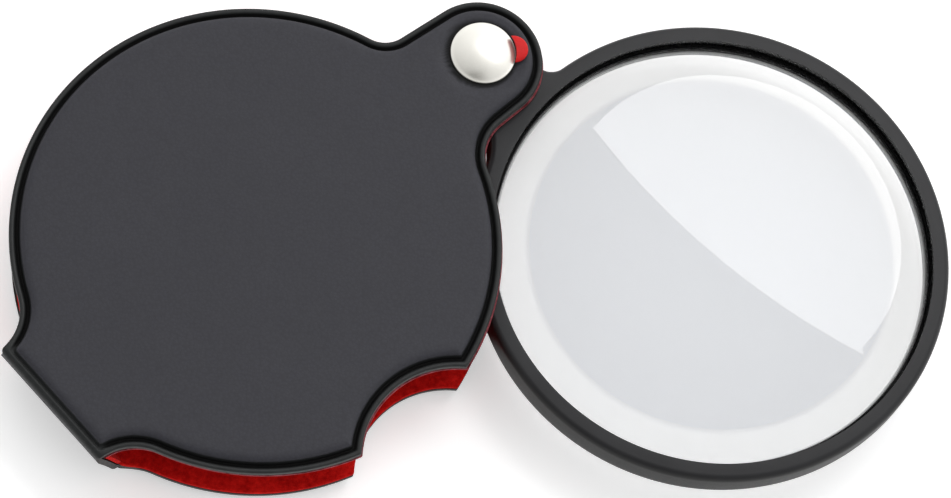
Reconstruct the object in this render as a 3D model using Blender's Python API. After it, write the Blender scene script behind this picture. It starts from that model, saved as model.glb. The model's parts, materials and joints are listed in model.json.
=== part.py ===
"""Folding pocket magnifier: a 60 mm glass lens in a black ring that swivels on a rivet out of a
folded leatherette case.

The case lies on its back, +Z up, with the lens swung out to the +X side.  The case is laid out in
its own plan axes, which start at the middle of its round body: +X towards the rivet, +Z out of the
front leaf, whose pressed border is the plane Z = 0.
"""
import bmesh
import bpy
import numpy as np
from mathutils import Vector

MM = 0.001

# Plan of the case, mm
BODY_RADIUS = 32.7          # round body of both leaves
RIVET_REACH = 40.87         # case centre to rivet
CASE_TURN = 42.65           # degrees, direction of the rivet from the case centre
EAR_CENTRE = (40.2, -0.4)   # round ear around the rivet
EAR_RADIUS = 8.5
NECK_RADIUS = 4.0           # hollow on each side of the ear
NECK_HALF_WIDTH = 8.85
SPINE_FRONT = 36.15         # case centre to the fold, at the front leaf
SPINE_REAR = 32.9           # and at the rear leaf
SPINE_HOLLOW_RADIUS = 7.0   # hollow on each side of the spine
SPINE_HALF_WIDTH = 9.75
SPINE_CORNER = 1.0
NOTCH_CENTRE = (-0.3, -40.4)  # thumb notch
NOTCH_RADIUS = 13.0
CORNER = 0.35               # every sharp-looking corner
LINING_INSET = 0.05         # lining drawn in from the cover's edge
REAR_FLANK = 0.65           # rear leaf cut narrower than the front one on its +Y side

# Thicknesses, mm
COVER = 0.8
LINING = 0.5
GAP = 0.3                   # air left between touching pieces
POCKET = 7.4                # between the two linings
PANEL_RISE = 0.8            # padded panel above the pressed border
BOARD = 0.5
BORDER = 1.3                # width of the pressed border
PANEL_SLOPE = 0.5
SPINE_STRAIGHT = 1.9        # upright part of the spine below the front leaf
FRONT_BEND = 1.2            # outer radius of the fold at the front leaf
SPINE_BEND = 2.0            # halfway down the spine
REAR_BEND = 3.4             # and at the rear leaf
TIGHTEST_BEND = 0.3
DIMPLE_RADIUS = 5.4         # flat round the rivet, sunk in the padded panel
DIMPLE_RISE = 0.1
DIMPLE_WALL = 1.0           # leatherette left round it, under the panel

# Rivet, mm
CAP_RADIUS = 4.45
CAP_HEIGHT = 1.3
CAP_WALL = 0.35
FLANGE_RADIUS = 3.1
FLANGE = 0.3
SOCKET_RADIUS = 2.0
SOCKET_BORE = 1.45
PIN_RADIUS = 1.1
SHANK_SHORT = 0.6           # how far each shank stops short of the case's depth
RIVET_HOLE = 2.3

# Nub of lining that is squeezed out beside the front cap, mm
NUB_REACH = 4.2             # rivet to nub
NUB_BEARING = 8.2           # degrees, direction of the nub from the rivet
NUB_RADIUS = 1.95
NUB_HEIGHT = 0.75

# Lens and its frame, mm
SWING = 98.5                # degrees that the lens is swung out of the case
FRAME_RADIUS = 32.6
FRAME_HALF = 3.4            # half of the frame's thickness
FRAME_LAND = 31.7           # where the flat front of the frame ends
BAND_FRONT = 2.2            # straight band round its outside, from here
BAND_REAR = -0.6            # to here
REAR_LAND = 30.8            # where the flat back of the frame begins
FRAME_BORE = 30.3
REAR_LIP = 29.75            # ledge behind the lens
LIP_REAR = -1.5
FLARE_RADIUS = 30.4         # the opening behind the ledge widens to this
LUG_HALF_WIDTH = 4.9
LUG_FILLET = 2.5            # hollow between the lug and the ring, on the outer side
LUG_WEB_FILLET = 10.0       # and on the side that faces the case
LUG_BITE = 0.3              # how far the fillet's circle cuts into the ring
LUG_ROOT = 1.2              # depth of the lug's root inside the ring
ROOT_CORNER = 0.25
LENS_RADIUS = 30.0
LENS_EDGE = 1.2
LENS_CROWN = 2.35           # height of each convex face
RETAINER_INNER = 29.75
RETAINER_HEIGHT = 0.8

# Levels of the case from the front border down, mm
LEAF = COVER + GAP + LINING
CASE_DEPTH = 2 * LEAF + POCKET
MIDDLE = -CASE_DEPTH / 2
CAP_TOP = DIMPLE_RISE + GAP + CAP_HEIGHT


def clear_scene():
    for obj in list(bpy.data.objects):
        bpy.data.objects.remove(obj)


def material(name, colour, roughness, metallic=0.0, transmission=0.0):
    mat = bpy.data.materials.new(name)
    mat.use_nodes = True
    shader = mat.node_tree.nodes["Principled BSDF"]
    shader.inputs["Base Color"].default_value = (*colour, 1.0)
    shader.inputs["Roughness"].default_value = roughness
    shader.inputs["Metallic"].default_value = metallic
    shader.inputs["Transmission Weight"].default_value = transmission
    return mat


def new_object(name, bm, parent, mat=None, smooth=False):
    """Turn a mesh drawn in mm into an object in metres under its parent."""
    bmesh.ops.scale(bm, vec=(MM, MM, MM), verts=bm.verts)
    bmesh.ops.recalc_face_normals(bm, faces=bm.faces)
    mesh = bpy.data.meshes.new(name)
    bm.to_mesh(mesh)
    bm.free()
    obj = bpy.data.objects.new(name, mesh)
    bpy.context.scene.collection.objects.link(obj)
    obj.parent = parent
    if mat:
        mesh.materials.append(mat)
    if smooth:
        mesh.shade_smooth()
        mesh.set_sharp_from_angle(angle=np.radians(35))
    return obj


def cut(target, tool, operation="DIFFERENCE"):
    """Cut, join or trim a piece with a hidden tool that shares its parent."""
    tool.hide_render = True
    tool.display_type = "WIRE"
    step = target.modifiers.new(tool.name, "BOOLEAN")
    step.operation = operation
    step.object = tool
    step.solver = "EXACT"


def tangent(one, two):
    """Ends of the straight line from circle one to circle two, each (centre, signed radius).

    A positive radius is a circle that the outline goes round counter-clockwise.
    """
    (c1, r1), (c2, r2) = one, two
    way = np.subtract(c2, c1)
    length = np.hypot(*way)
    lean = np.arcsin(np.clip((r2 - r1) / length, -1, 1))
    heading = np.arctan2(way[1], way[0]) - lean
    normal = np.array([np.sin(heading), -np.cos(heading)])
    return np.asarray(c1) + r1 * normal, np.asarray(c2) + r2 * normal


def belt(circles, sag=0.03):
    """Closed outline that runs round a chain of circles, joined by their common tangents."""
    points = []
    count = len(circles)
    for i, (centre, radius) in enumerate(circles):
        start = tangent(circles[i - 1], circles[i])[1] - centre
        end = tangent(circles[i], circles[(i + 1) % count])[0] - centre
        a = np.arctan2(start[1], start[0])
        b = np.arctan2(end[1], end[0])
        turn = (b - a) % (2 * np.pi) if radius > 0 else -((a - b) % (2 * np.pi))
        if abs(turn) > 2 * np.pi - 0.01:
            turn = 0.0
        largest = 2 * np.arccos(1 - min(sag / abs(radius), 0.5))
        steps = max(1, int(np.ceil(abs(turn) / largest)))
        for angle in a + turn * np.arange(steps + 1) / steps:
            point = centre + abs(radius) * np.array([np.cos(angle), np.sin(angle)])
            if not points or np.hypot(*(point - points[-1])) > 0.02:
                points.append(point)
    return points


def meet(c1, r1, c2, r2, side):
    """Crossing of two circles on the given side of the line between their centres."""
    way = np.subtract(c2, c1)
    length = np.hypot(*way)
    along = (r1**2 - r2**2 + length**2) / (2 * length)
    off = np.sqrt(r1**2 - along**2)
    ahead = way / length
    return np.asarray(c1) + along * ahead + side * off * np.array([-ahead[1], ahead[0]])


def case_outline(inset, spine=SPINE_FRONT):
    """Plan of a leaf, drawn inset from its edge all round, with its straight edge at the spine."""
    body = BODY_RADIUS - inset
    flank = BODY_RADIUS - (REAR_FLANK if spine < SPINE_FRONT else 0.0)
    neck_y = NECK_HALF_WIDTH + NECK_RADIUS
    neck_x = np.sqrt((BODY_RADIUS + NECK_RADIUS) ** 2 - neck_y**2)
    flank_neck_x = np.sqrt((flank + NECK_RADIUS) ** 2 - neck_y**2)
    hollow_y = SPINE_HALF_WIDTH + SPINE_HOLLOW_RADIUS
    hollow_x = -np.sqrt((BODY_RADIUS + SPINE_HOLLOW_RADIUS) ** 2 - hollow_y**2)
    flank_hollow_x = -np.sqrt((flank + SPINE_HOLLOW_RADIUS) ** 2 - hollow_y**2)
    hollow = SPINE_HOLLOW_RADIUS + inset
    corner_x = -spine + inset + SPINE_CORNER
    corner_reach = corner_x - flank_hollow_x
    corner_y = hollow_y - np.sqrt((hollow + SPINE_CORNER) ** 2 - corner_reach**2)
    tip_x = -spine + inset + CORNER
    tip_y = hollow_y - np.sqrt((hollow + CORNER) ** 2 - (tip_x - hollow_x) ** 2)
    notch = NOTCH_RADIUS + inset
    left_tip = meet((0, 0), body - CORNER, NOTCH_CENTRE, notch + CORNER, -1)
    right_tip = meet((0, 0), body - CORNER, NOTCH_CENTRE, notch + CORNER, 1)
    centre = (0.0, 0.0)
    return belt([
        (EAR_CENTRE, EAR_RADIUS - inset),
        ((flank_neck_x, neck_y), -(NECK_RADIUS + inset)),
        (centre, flank - inset),
        ((flank_hollow_x, hollow_y), -hollow),
        ((corner_x, corner_y), SPINE_CORNER),
        ((tip_x, -tip_y), CORNER),
        ((hollow_x, -hollow_y), -hollow),
        (centre, body),
        (left_tip, CORNER),
        (NOTCH_CENTRE, -notch),
        (right_tip, CORNER),
        (centre, body),
        ((neck_x, -neck_y), -(NECK_RADIUS + inset)),
    ])


def prism(outline, low, high):
    """Plan outline drawn up from one level to another."""
    bm = bmesh.new()
    face = bm.faces.new([bm.verts.new((x, y, low)) for x, y in outline])
    lifted = bmesh.ops.extrude_face_region(bm, geom=[face])["geom"]
    bmesh.ops.translate(
        bm, vec=(0, 0, high - low), verts=[v for v in lifted if isinstance(v, bmesh.types.BMVert)]
    )
    return bm


def turned(profile, steps=72):
    """Closed (radius, height) profile turned about the Z axis."""
    bm = bmesh.new()
    verts = [bm.verts.new((r, 0, z)) for r, z in profile]
    edges = [bm.edges.new((verts[i - 1], verts[i])) for i in range(len(verts))]
    bmesh.ops.spin(
        bm, geom=verts + edges, cent=(0, 0, 0), axis=(0, 0, 1), angle=2 * np.pi, steps=steps,
        use_merge=True,
    )
    bmesh.ops.remove_doubles(bm, verts=bm.verts, dist=0.001)
    return bm


def shifted(bm, x=0.0, y=0.0, z=0.0):
    bmesh.ops.translate(bm, vec=(x, y, z), verts=bm.verts)
    return bm


def fold_path(depth):
    """Section of the folded case at a depth under its outer face, as (x, z) from front to rear."""
    reach = 60.0
    corners = [(-SPINE_FRONT, 0), (-SPINE_FRONT, -SPINE_STRAIGHT), (-SPINE_REAR, -CASE_DEPTH)]
    corners = [(reach, 0), *corners, (reach, -CASE_DEPTH)]
    bends = (FRONT_BEND - depth, SPINE_BEND, REAR_BEND - depth)
    lines = []
    for a, b in zip(corners, corners[1:]):
        ahead = np.subtract(b, a) / np.hypot(*np.subtract(b, a))
        inward = np.array([-ahead[1], ahead[0]])
        lines.append((np.asarray(a) + depth * inward, ahead))
    knees = []
    for (p, u), (q, v) in zip(lines, lines[1:]):
        knees.append(p + np.linalg.solve(np.array([u, -v]).T, q - p)[0] * u)
    ends = [lines[0][0], *knees, np.array([reach, -CASE_DEPTH + depth])]
    points = [ends[0]]
    for before, corner, after, bend in zip(ends, knees, ends[2:], bends):
        u = (corner - before) / np.hypot(*(corner - before))
        v = (after - corner) / np.hypot(*(after - corner))
        turn = np.arccos(np.clip(u @ v, -1, 1))
        room = 0.45 * min(np.hypot(*(corner - before)), np.hypot(*(after - corner)))
        back = min(max(bend, TIGHTEST_BEND) * np.tan(turn / 2), room)
        radius = back / np.tan(turn / 2)
        side = np.array([-u[1], u[0]])
        centre = corner - back * u + radius * side
        steps = max(1, int(np.ceil(turn / np.radians(18))))
        for angle in turn * np.arange(steps + 1) / steps:
            points.append(centre - radius * (np.cos(angle) * side - np.sin(angle) * u))
    points.append(ends[-1])
    return points


def folded_sheet(outer_depth, inner_depth):
    """Sheet folded round the spine, wide enough for the leaf outline to be cut from it."""
    half_width = 45.0
    section = fold_path(outer_depth) + fold_path(inner_depth)[::-1]
    bm = bmesh.new()
    face = bm.faces.new([bm.verts.new((x, -half_width, z)) for x, z in section])
    lifted = bmesh.ops.extrude_face_region(bm, geom=[face])["geom"]
    bmesh.ops.translate(
        bm, vec=(0, 2 * half_width, 0), verts=[v for v in lifted if isinstance(v, bmesh.types.BMVert)]
    )
    return bm


def disc(radius, low, high, x=RIVET_REACH):
    """Round tool about the rivet's axis."""
    return shifted(turned([(0, low), (radius, low), (radius, high), (0, high)], 32), x=x)


def panel(low, high, spine, upward):
    """Padded panel whose edge slopes in from the pressed border."""
    foot = case_outline(BORDER, spine)
    top = case_outline(BORDER + PANEL_SLOPE, spine)
    bm = bmesh.new()
    ends = ((foot, low), (top, high)) if upward else ((top, low), (foot, high))
    rings = []
    for outline, level in ends:
        loop = [bm.verts.new((x, y, level)) for x, y in outline]
        rings.append([bm.edges.new((loop[i - 1], loop[i])) for i in range(len(loop))])
        bm.faces.new(loop)
    bmesh.ops.bridge_loops(bm, edges=rings[0] + rings[1])
    return bm


def case_cover(case, mat):
    """Leatherette cover: both leaves and the spine in one folded piece, with raised panels."""
    cover = new_object("case_cover", folded_sheet(0.0, COVER), case, mat)
    outline = prism(case_outline(0.0), -CASE_DEPTH - 1, 1)
    cut(cover, new_object("tool_cover_outline", outline, case), "INTERSECT")
    bury = COVER / 2
    front = panel(-bury, PANEL_RISE, SPINE_FRONT, True)
    rear = panel(-CASE_DEPTH - PANEL_RISE, -CASE_DEPTH + bury, SPINE_REAR, False)
    cut(cover, new_object("tool_front_panel", front, case), "UNION")
    cut(cover, new_object("tool_rear_panel", rear, case), "UNION")
    room = BORDER + PANEL_SLOPE + COVER
    recess = PANEL_RISE - COVER
    front_room = prism(case_outline(room), -COVER - 0.1, recess)
    rear_room = prism(case_outline(room, SPINE_REAR), -CASE_DEPTH - recess, -CASE_DEPTH + COVER + 0.1)
    for side, tool in (("front", front_room), ("rear", rear_room)):
        boss = new_object(f"tool_{side}_boss", disc(DIMPLE_RADIUS + DIMPLE_WALL, -CASE_DEPTH - 2, 2), case)
        recess_tool = new_object(f"tool_{side}_recess", tool, case)
        cut(recess_tool, boss)
        cut(cover, recess_tool)
    front_dimple = disc(DIMPLE_RADIUS, DIMPLE_RISE, 3)
    rear_dimple = disc(DIMPLE_RADIUS, -CASE_DEPTH - 3, -CASE_DEPTH - DIMPLE_RISE)
    cut(cover, new_object("tool_front_dimple", front_dimple, case))
    cut(cover, new_object("tool_rear_dimple", rear_dimple, case))
    cut(cover, new_object("tool_cover_hole", disc(RIVET_HOLE, -CASE_DEPTH - 4, 4), case))


def case_lining(case, mat):
    """Red flocked lining, glued inside the cover and folded with it."""
    lining = new_object("case_lining", folded_sheet(COVER + GAP, LEAF), case, mat)
    outline = prism(case_outline(LINING_INSET), -CASE_DEPTH - 1, 1)
    cut(lining, new_object("tool_lining_outline", outline, case), "INTERSECT")
    cut(lining, new_object("tool_lining_hole", disc(RIVET_HOLE, -CASE_DEPTH - 4, 4), case))


def boards(case, mat):
    """Card stiffeners, one in each leaf, between the cover and the lining."""
    inset = BORDER + PANEL_SLOPE + COVER + GAP
    low = -COVER
    for name, spine, start in (
        ("front_board", SPINE_FRONT, low),
        ("rear_board", SPINE_REAR, -CASE_DEPTH - low - BOARD),
    ):
        board = new_object(name, prism(case_outline(inset, spine), start, start + BOARD), case, mat)
        window = disc(DIMPLE_RADIUS + DIMPLE_WALL + GAP, -CASE_DEPTH - 2, 2)
        cut(board, new_object(f"tool_{name}_window", window, case))


def cap_profile():
    """Half section of a rivet's domed cap, open underneath, rim at height 0."""
    angles = np.radians(np.linspace(0, 90, 6))
    outer = [(CAP_RADIUS * np.cos(a) ** 0.5, CAP_HEIGHT * np.sin(a) ** 0.9) for a in angles]
    outer[-1] = (0.0, CAP_HEIGHT)
    inner_radius = CAP_RADIUS - CAP_WALL
    inner_height = CAP_HEIGHT - CAP_WALL
    inner = [(inner_radius * np.cos(a) ** 0.5, inner_height * np.sin(a) ** 0.9) for a in angles]
    inner[-1] = (0.0, inner_height)
    return outer + inner[::-1]


def flange_profile(outer, bore, length):
    """Half section of a flange with a shank below it, flange top at height FLANGE."""
    inside = [(bore, -length), (bore, FLANGE)] if bore else [(0, -length), (0, FLANGE)]
    return [(outer, -length), *inside, (FLANGE_RADIUS, FLANGE), (FLANGE_RADIUS, 0), (outer, 0)]


def rivet(case, mat):
    """Double-capped rivet: a socket and a post that lock together, each under a domed cap."""
    rim = DIMPLE_RISE + GAP
    for name, flip in (("rivet_front_cap", 1), ("rivet_rear_cap", -1)):
        bm = turned([(r, flip * z) for r, z in cap_profile()], 40)
        level = rim if flip > 0 else -CASE_DEPTH - rim
        new_object(name, shifted(bm, x=RIVET_REACH, z=level), case, mat, smooth=True)
    shank = CASE_DEPTH - SHANK_SHORT
    socket = turned(flange_profile(SOCKET_RADIUS, SOCKET_BORE, shank), 32)
    new_object("rivet_socket", shifted(socket, x=RIVET_REACH, z=rim), case, mat, smooth=True)
    pin = [(r, -z) for r, z in flange_profile(PIN_RADIUS, 0, shank)]
    level = -CASE_DEPTH - rim
    new_object("rivet_post", shifted(turned(pin, 32), x=RIVET_REACH, z=level), case, mat, smooth=True)


def lining_nub(case, mat):
    """Small red swelling of lining that is squeezed out from under the front cap."""
    direction = np.radians(NUB_BEARING - CASE_TURN)
    x = RIVET_REACH + NUB_REACH * np.cos(direction)
    y = NUB_REACH * np.sin(direction)
    bm = bmesh.new()
    bmesh.ops.create_uvsphere(bm, u_segments=24, v_segments=12, radius=1.0)
    bmesh.ops.scale(bm, vec=(NUB_RADIUS, NUB_RADIUS, NUB_HEIGHT), verts=bm.verts)
    level = PANEL_RISE + DIMPLE_RISE
    nub = new_object("lining_nub", shifted(bm, x, y, level), case, mat, smooth=True)
    cut(nub, new_object("tool_nub_cap", disc(CAP_RADIUS + GAP, -3, 4), case))
    floor = disc(EAR_RADIUS, -3, PANEL_RISE + GAP)
    cut(nub, new_object("tool_nub_floor", floor, case))


def lug_hollow(fillet, side):
    """Circle that rounds off the corner between the lug and the ring."""
    y = LUG_HALF_WIDTH + fillet
    x = -RIVET_REACH + np.sqrt((FRAME_RADIUS + fillet - LUG_BITE) ** 2 - y**2)
    return (x, side * y), -fillet


def lug_root(fillet, side):
    """Corner of the lug's root, inside the ring where the hollow meets it."""
    (x, y), _ = lug_hollow(fillet, side)
    way = np.array([x + RIVET_REACH, y])
    x, y = (FRAME_RADIUS - LUG_ROOT) * way / np.hypot(*way)
    return (x - RIVET_REACH, y), ROOT_CORNER


def lens_frame(swivel, mat):
    """Moulded ring with a swivel lug; its section is a rounded bar with a bore for the lens."""
    angles = np.radians(np.linspace(0, 90, 5))
    round_front = (FRAME_RADIUS - FRAME_LAND, FRAME_HALF - BAND_FRONT)
    round_rear = (FRAME_RADIUS - REAR_LAND, FRAME_HALF + BAND_REAR)
    outer = [(FRAME_LAND + round_front[0] * np.sin(a), BAND_FRONT + round_front[1] * np.cos(a)) for a in angles]
    outer += [(REAR_LAND + round_rear[0] * np.cos(a), BAND_REAR - round_rear[1] * np.sin(a)) for a in angles]
    ledge = -LENS_EDGE / 2 - GAP
    profile = [(FRAME_BORE, FRAME_HALF), *outer, (FLARE_RADIUS, -FRAME_HALF), (REAR_LIP, LIP_REAR)]
    profile += [(REAR_LIP, ledge), (FRAME_BORE, ledge)]
    ring = shifted(turned(profile), x=-RIVET_REACH)
    frame = new_object("lens_frame", ring, swivel, mat, smooth=True)
    outline = belt([
        ((0.0, 0.0), LUG_HALF_WIDTH),
        lug_hollow(LUG_WEB_FILLET, 1),
        lug_root(LUG_WEB_FILLET, 1),
        lug_root(LUG_FILLET, -1),
        lug_hollow(LUG_FILLET, -1),
    ])
    lug = new_object("tool_lug", prism(outline, -FRAME_HALF, FRAME_HALF), swivel)
    bore = shifted(disc(FRAME_BORE, -FRAME_HALF - 1, FRAME_HALF + 1, x=0), x=-RIVET_REACH)
    cut(lug, new_object("tool_lug_bore", bore, swivel))
    cut(frame, lug, "UNION")
    hole = disc(RIVET_HOLE, -FRAME_HALF - 1, FRAME_HALF + 1, x=0)
    cut(frame, new_object("tool_lug_hole", hole, swivel))


def retaining_ring(swivel, mat):
    """Thin ring pressed into the bore in front of the lens."""
    low = LENS_EDGE / 2 + GAP
    high = low + RETAINER_HEIGHT
    outer = FRAME_BORE - GAP
    bm = turned([(RETAINER_INNER, low), (outer, low), (outer, high), (RETAINER_INNER, high)])
    new_object("lens_retaining_ring", shifted(bm, x=-RIVET_REACH), swivel, mat, smooth=True)


def lens(swivel, mat):
    """Double-convex glass lens with a ground edge."""
    sphere = (LENS_RADIUS**2 + LENS_CROWN**2) / (2 * LENS_CROWN)
    radii = np.linspace(LENS_RADIUS, 0, 7)
    front = [(r, LENS_EDGE / 2 + LENS_CROWN - sphere + np.sqrt(sphere**2 - r**2)) for r in radii]
    rear = [(r, -z) for r, z in front[::-1]]
    bm = turned([*front, *rear])
    new_object("lens", shifted(bm, x=-RIVET_REACH), swivel, mat, smooth=True)


def empty(name, location, turn, parent=None):
    obj = bpy.data.objects.new(name, None)
    bpy.context.scene.collection.objects.link(obj)
    obj.location = Vector(location) * MM
    obj.rotation_euler = (0, 0, np.radians(turn))
    obj.parent = parent
    return obj


def case_place():
    """Case centre, so that the origin is under the middle of the whole magnifier's box."""
    turn = np.radians(CASE_TURN)
    swung = turn + np.radians(SWING)
    rivet_x = RIVET_REACH * np.cos(turn)
    lens_x = rivet_x - RIVET_REACH * np.cos(swung)
    ear_y = EAR_CENTRE[0] * np.sin(turn) + EAR_CENTRE[1] * np.cos(turn)
    x = -(lens_x + FRAME_RADIUS - BODY_RADIUS) / 2
    y = -(ear_y + EAR_RADIUS - BODY_RADIUS) / 2
    return x, y, CASE_DEPTH + CAP_TOP


def build():
    clear_scene()
    leatherette = material("leatherette", (0.058, 0.058, 0.068), 0.55)
    card = material("card", (0.35, 0.3, 0.24), 0.9)
    flock = material("red_flock", (0.3, 0.004, 0.004), 0.95)
    nickel = material("nickel", (0.78, 0.76, 0.7), 0.2, metallic=1.0)
    plastic = material("black_plastic", (0.035, 0.035, 0.037), 0.4)
    glass = material("lens_glass", (0.93, 0.94, 0.96), 0.02, transmission=1.0)
    case = empty("case_axis", case_place(), CASE_TURN)
    swivel = empty("swivel_axis", (RIVET_REACH, 0, MIDDLE), SWING, case)
    case_cover(case, leatherette)
    case_lining(case, flock)
    boards(case, card)
    rivet(case, nickel)
    lining_nub(case, flock)
    lens_frame(swivel, plastic)
    retaining_ring(swivel, plastic)
    lens(swivel, glass)


build()
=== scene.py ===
"""A folding pocket magnifier on a pale table: a glass lens in a black ring, swung out of its case.

The file follows the magnifier as it is put together: the leatherette cover, the flocked lining, the
card in the leaves, the lens in its frame, and the rivet that holds it all.
"""
import json

import bmesh
import bpy
import numpy as np
from mathutils import Matrix, Vector, noise


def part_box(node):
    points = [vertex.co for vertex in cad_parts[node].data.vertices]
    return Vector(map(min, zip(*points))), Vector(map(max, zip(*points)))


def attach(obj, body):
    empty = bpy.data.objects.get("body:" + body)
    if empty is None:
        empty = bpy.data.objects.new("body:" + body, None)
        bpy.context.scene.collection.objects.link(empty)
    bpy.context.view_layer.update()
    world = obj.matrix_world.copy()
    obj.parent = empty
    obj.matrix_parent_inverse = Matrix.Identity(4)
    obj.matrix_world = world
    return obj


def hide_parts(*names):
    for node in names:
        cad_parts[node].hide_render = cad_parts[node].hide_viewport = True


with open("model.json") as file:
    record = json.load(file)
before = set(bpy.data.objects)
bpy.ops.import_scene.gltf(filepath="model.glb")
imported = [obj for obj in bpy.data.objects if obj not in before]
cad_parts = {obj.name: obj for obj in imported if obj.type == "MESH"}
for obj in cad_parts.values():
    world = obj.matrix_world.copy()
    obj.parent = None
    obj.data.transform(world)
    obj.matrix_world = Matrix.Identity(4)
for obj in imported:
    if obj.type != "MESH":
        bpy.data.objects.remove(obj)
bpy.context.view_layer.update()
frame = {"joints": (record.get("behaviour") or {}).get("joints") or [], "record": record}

mm = 0.001

# ---------------------------------------------------------------- Camera
# The view looks down on the front leaf from a little below and left of it, through a long lens.
case_mount = Vector(frame["record"]["mounts"][0]["pos_m"])
cover_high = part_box("case_cover")[1]
PANEL_RISE = 0.8
border_level = cover_high.z - PANEL_RISE * mm
aim = Vector((case_mount.x, case_mount.y, border_level)) + Vector((29.11, -0.37, 0.0)) * mm
tilt = np.radians(21.295)
azimuth = np.radians(249.25)
back = Vector((np.sin(tilt) * np.cos(azimuth), np.sin(tilt) * np.sin(azimuth), np.cos(tilt)))
across = Vector((0, 1, 0)).cross(back).normalized()
upward = back.cross(across)
camera = bpy.data.objects.new("camera", bpy.data.cameras.new("camera"))
bpy.context.scene.collection.objects.link(camera)
camera.data.sensor_width = 36.0
camera.data.lens = 155.13
camera.data.clip_end = 10.0
camera.matrix_world = Matrix.Translation(aim + 545.67 * mm * back) @ Matrix(
    (across, upward, back)
).transposed().to_4x4()
bpy.context.scene.camera = camera

# ---------------------------------------------------------------- Table and lights
# A glowing white table under a pale sky that is brighter on the far side. A half-moon softbox hangs
# over the lens, which mirrors it, and a dark card stands behind the camera, which the rivet mirrors.
bpy.context.scene.view_settings.view_transform = "Standard"
world = bpy.data.worlds.new("studio")
world.use_nodes = True
SKY_NEAR, SKY_FAR = 0.4, 1.35
sky = world.node_tree.nodes["Background"]
heading = world.node_tree.nodes.new("ShaderNodeTexCoord")
far_side = world.node_tree.nodes.new("ShaderNodeVectorMath")
far_side.operation = "DOT_PRODUCT"
far_side.inputs[1].default_value = (0.55, 0.84, 0.0)
spread = world.node_tree.nodes.new("ShaderNodeMapRange")
for name, value in zip(("From Min", "From Max", "To Min", "To Max"), (-0.8, 0.8, SKY_NEAR, SKY_FAR)):
    spread.inputs[name].default_value = value
world.node_tree.links.new(heading.outputs["Generated"], far_side.inputs[0])
world.node_tree.links.new(far_side.outputs["Value"], spread.inputs["Value"])
world.node_tree.links.new(spread.outputs[0], sky.inputs["Strength"])
sky.inputs["Color"].default_value = (1.0, 1.0, 1.0, 1.0)
bpy.context.scene.world = world


def studio_card(name, corners, colour, glow=0.0):
    """Flat card of the studio, matt or glowing."""
    mesh = bpy.data.meshes.new(name)
    mesh.from_pydata(corners, [], [range(len(corners))])
    card = bpy.data.objects.new(name, mesh)
    bpy.context.scene.collection.objects.link(card)
    paper = bpy.data.materials.new(name)
    paper.use_nodes = True
    shader = paper.node_tree.nodes["Principled BSDF"]
    shader.inputs["Base Color"].default_value = (*colour, 1.0)
    shader.inputs["Roughness"].default_value = 0.9
    shader.inputs["Specular IOR Level"].default_value = 0.0
    shader.inputs["Emission Color"].default_value = (1.0, 1.0, 1.0, 1.0)
    shader.inputs["Emission Strength"].default_value = glow
    mesh.materials.append(paper)
    return card


table_top = -0.02 * mm
TABLE_GLOW = 0.36
table_corners = [(x, y, table_top) for x, y in ((-3, -3), (3, -3), (3, 3), (-3, 3))]
studio_card("table", table_corners, (0.95, 0.95, 0.95), TABLE_GLOW)

lens_low, lens_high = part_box("lens")
lens_centre = (lens_low + lens_high) / 2
mirror_way = Vector((-back.x, -back.y, back.z))
mirror_across = Vector((0, 1, 0)).cross(mirror_way).normalized()
mirror_upward = mirror_way.cross(mirror_across)
SOFTBOX_AWAY = 1.0          # metres from the lens
SOFTBOX_GLOW = 4.0
outer_arc = [(0.105, 0.045), 0.297]     # centre and radius of the half moon's round side
tips = [Vector((-0.135, 0.245)), Vector((0.345, -0.172))]
INNER_BULGE = 0.066         # how far its other side bows out
moon = []
start, end = [np.arctan2(tip.y - outer_arc[0][1], tip.x - outer_arc[0][0]) for tip in tips]
for k in range(49):
    angle = start + (end - start) * k / 48
    moon.append(Vector(outer_arc[0]) + outer_arc[1] * Vector((np.cos(angle), np.sin(angle))))
for k in range(1, 48):
    share = k / 48
    chord = tips[1].lerp(tips[0], share)
    off = (tips[0] - tips[1]).orthogonal().normalized()
    moon.append(chord + off * INNER_BULGE * 4 * share * (1 - share))
studio_card("softbox", [
    lens_centre + SOFTBOX_AWAY * mirror_way + p.x * mirror_across + p.y * mirror_upward for p in moon
], (0.8, 0.8, 0.8), SOFTBOX_GLOW)

CARD_HALF_WIDTH, CARD_LOW, CARD_HIGH = 0.16, -0.035, 0.05
card_place = aim + 570 * mm * back
studio_card("dark_card", [
    card_place + x * across + y * upward
    for x, y in (
        (-CARD_HALF_WIDTH, CARD_LOW), (CARD_HALF_WIDTH, CARD_LOW),
        (CARD_HALF_WIDTH, CARD_HIGH), (-CARD_HALF_WIDTH, CARD_HIGH),
    )
], (0.03, 0.03, 0.02))


# ---------------------------------------------------------------- Leatherette cover
# One piece of black leatherette with a cloth back, die cut to the outline of both leaves. It is
# pressed hot over the card, which leaves a padded panel inside a creased border, and folded once.
BODY_RADIUS = 32.7
RIVET_REACH = 40.87
EAR_CENTRE = (40.2, -0.4)
EAR_RADIUS = 8.5
NECK_RADIUS = 4.0
LENS_NECK_RADIUS = 6.5      # the neck on the lens's side
NECK_HALF_WIDTH = 8.85
SPINE_FRONT = 36.15
SPINE_REAR = 32.9
SPINE_HOLLOW_RADIUS = 7.0
SPINE_HALF_WIDTH = 9.75
SPINE_CORNER = 0.45
SPINE_STRAIGHT = 1.9
NOTCH_CENTRE = (-0.3, -40.4)
NOTCH_RADIUS = 13.0
TIP = 0.35
COVER = 0.8
CASE_DEPTH = 10.6
REAR_FLANK = 0.65
REACH = 60.0                # how far the flat legs of the fold are drawn
swivel = Vector(frame["joints"][0]["pos_m"])
case_turn = np.arctan2(swivel.y - case_mount.y, swivel.x - case_mount.x)


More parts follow.
